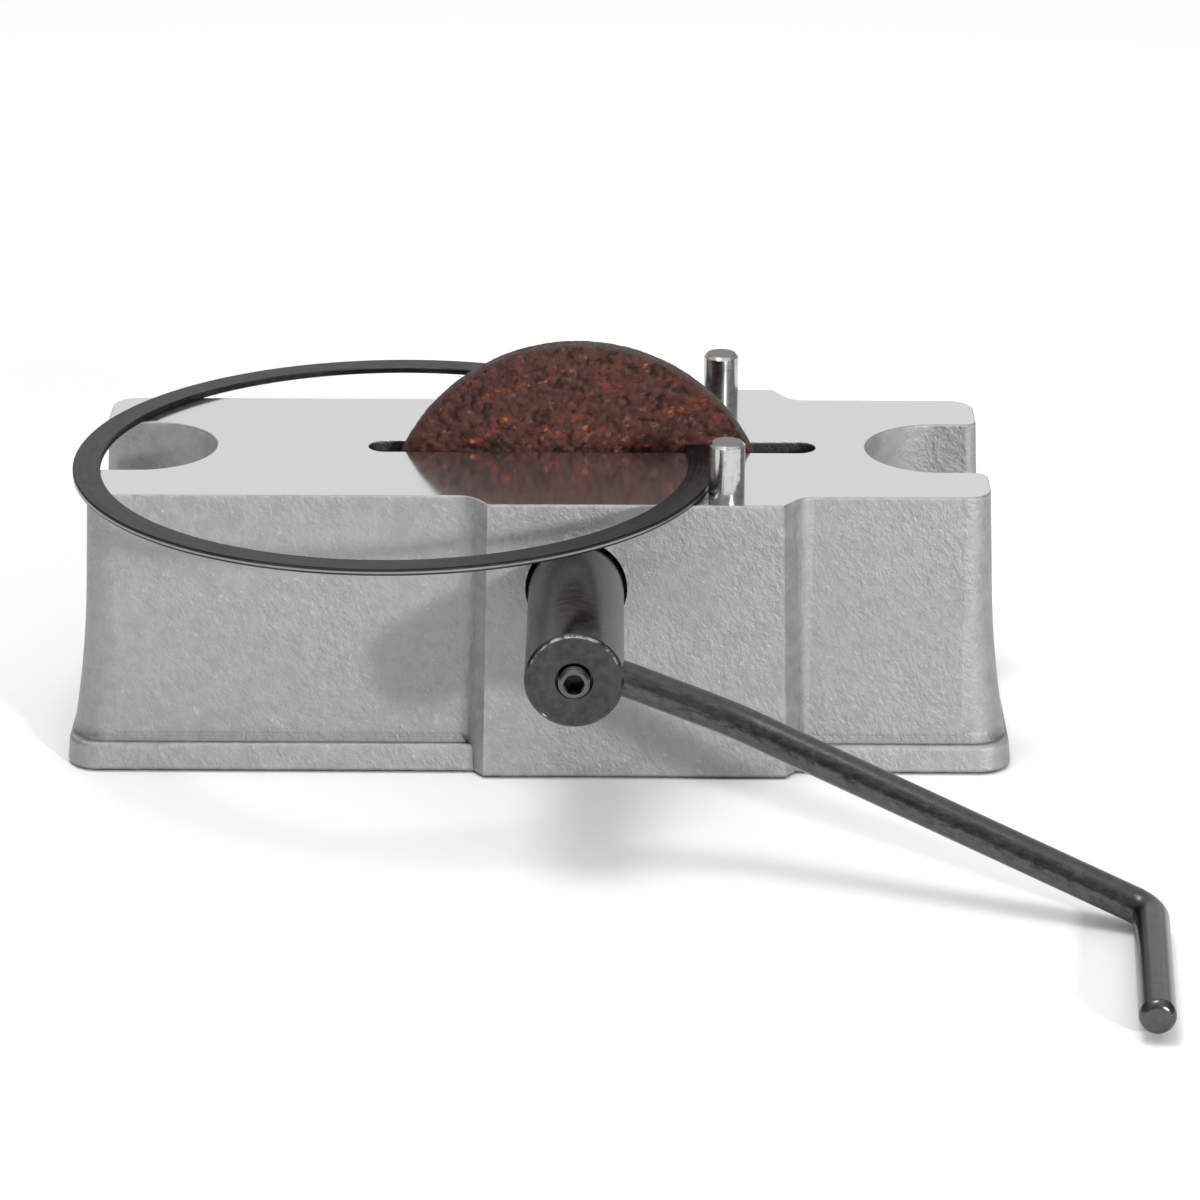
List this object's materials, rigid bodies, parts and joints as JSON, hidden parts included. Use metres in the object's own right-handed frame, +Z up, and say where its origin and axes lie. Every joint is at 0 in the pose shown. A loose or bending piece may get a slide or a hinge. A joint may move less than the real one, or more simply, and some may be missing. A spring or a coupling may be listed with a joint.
{
  "type": "piston ring filer",
  "caption": "Hand-cranked piston-ring end filer: hollow cast base with a ground table, an abrasive wheel rising through a slot, two guide pins, a bent crank and a split ring.",
  "frame": {"origin": "middle of the base's underside, on the bench", "axes": "+X along the wheel slot, on the crank arm's side; +Y from the crank side to the back; +Z up"},
  "size_m": [0.1886, 0.1861, 0.0704],
  "materials": {
    "cast_aluminium": "as-cast sides, ground and polished table",
    "abrasive": "bonded reddish-brown abrasive grit",
    "blackened_steel": "satin black oxide over turned steel",
    "rod_steel": "dark drawn steel, a little worn",
    "bright_steel": "bright ground steel",
    "ring_iron": "phosphated ring with a bright lapped outer face",
    "bronze": "sintered bronze",
    "blotter_paper": "matt card",
    "zinc_steel": "zinc-plated steel"
  },
  "bodies": {
    "base": {"base_casting": "cast_aluminium", "front_bushing": "bronze", "rear_bushing": "bronze", "thrust_washer_front": "bronze", "guide_pin_front": "bright_steel", "guide_pin_rear": "bright_steel"},
    "crank": {"spindle": "blackened_steel", "crank_arm": "rod_steel", "crank_set_screw": "blackened_steel", "wheel_flange_front": "zinc_steel", "wheel_flange_rear": "zinc_steel", "wheel_blotter_front": "blotter_paper", "wheel_blotter_rear": "blotter_paper", "grinding_wheel": "abrasive", "wheel_arbor_bush": "bronze", "wheel_lock_washer": "zinc_steel", "wheel_nut": "zinc_steel", "retaining_clip": "blackened_steel", "thrust_washer_rear": "bronze"},
    "ring": {"piston_ring": "ring_iron"}
  },
  "joints": [
    {"name": "crank_spin", "type": "hinge", "parent": "base", "child": "crank", "pos_m": [0.00665, 0, 0.0355], "axis": [0, 1, 0], "continuous": true},
    {"name": "ring_lift", "type": "slide", "parent": "base", "child": "ring", "axis": [0, 0, 1], "range_m": [0, 0.03]}
  ]
}
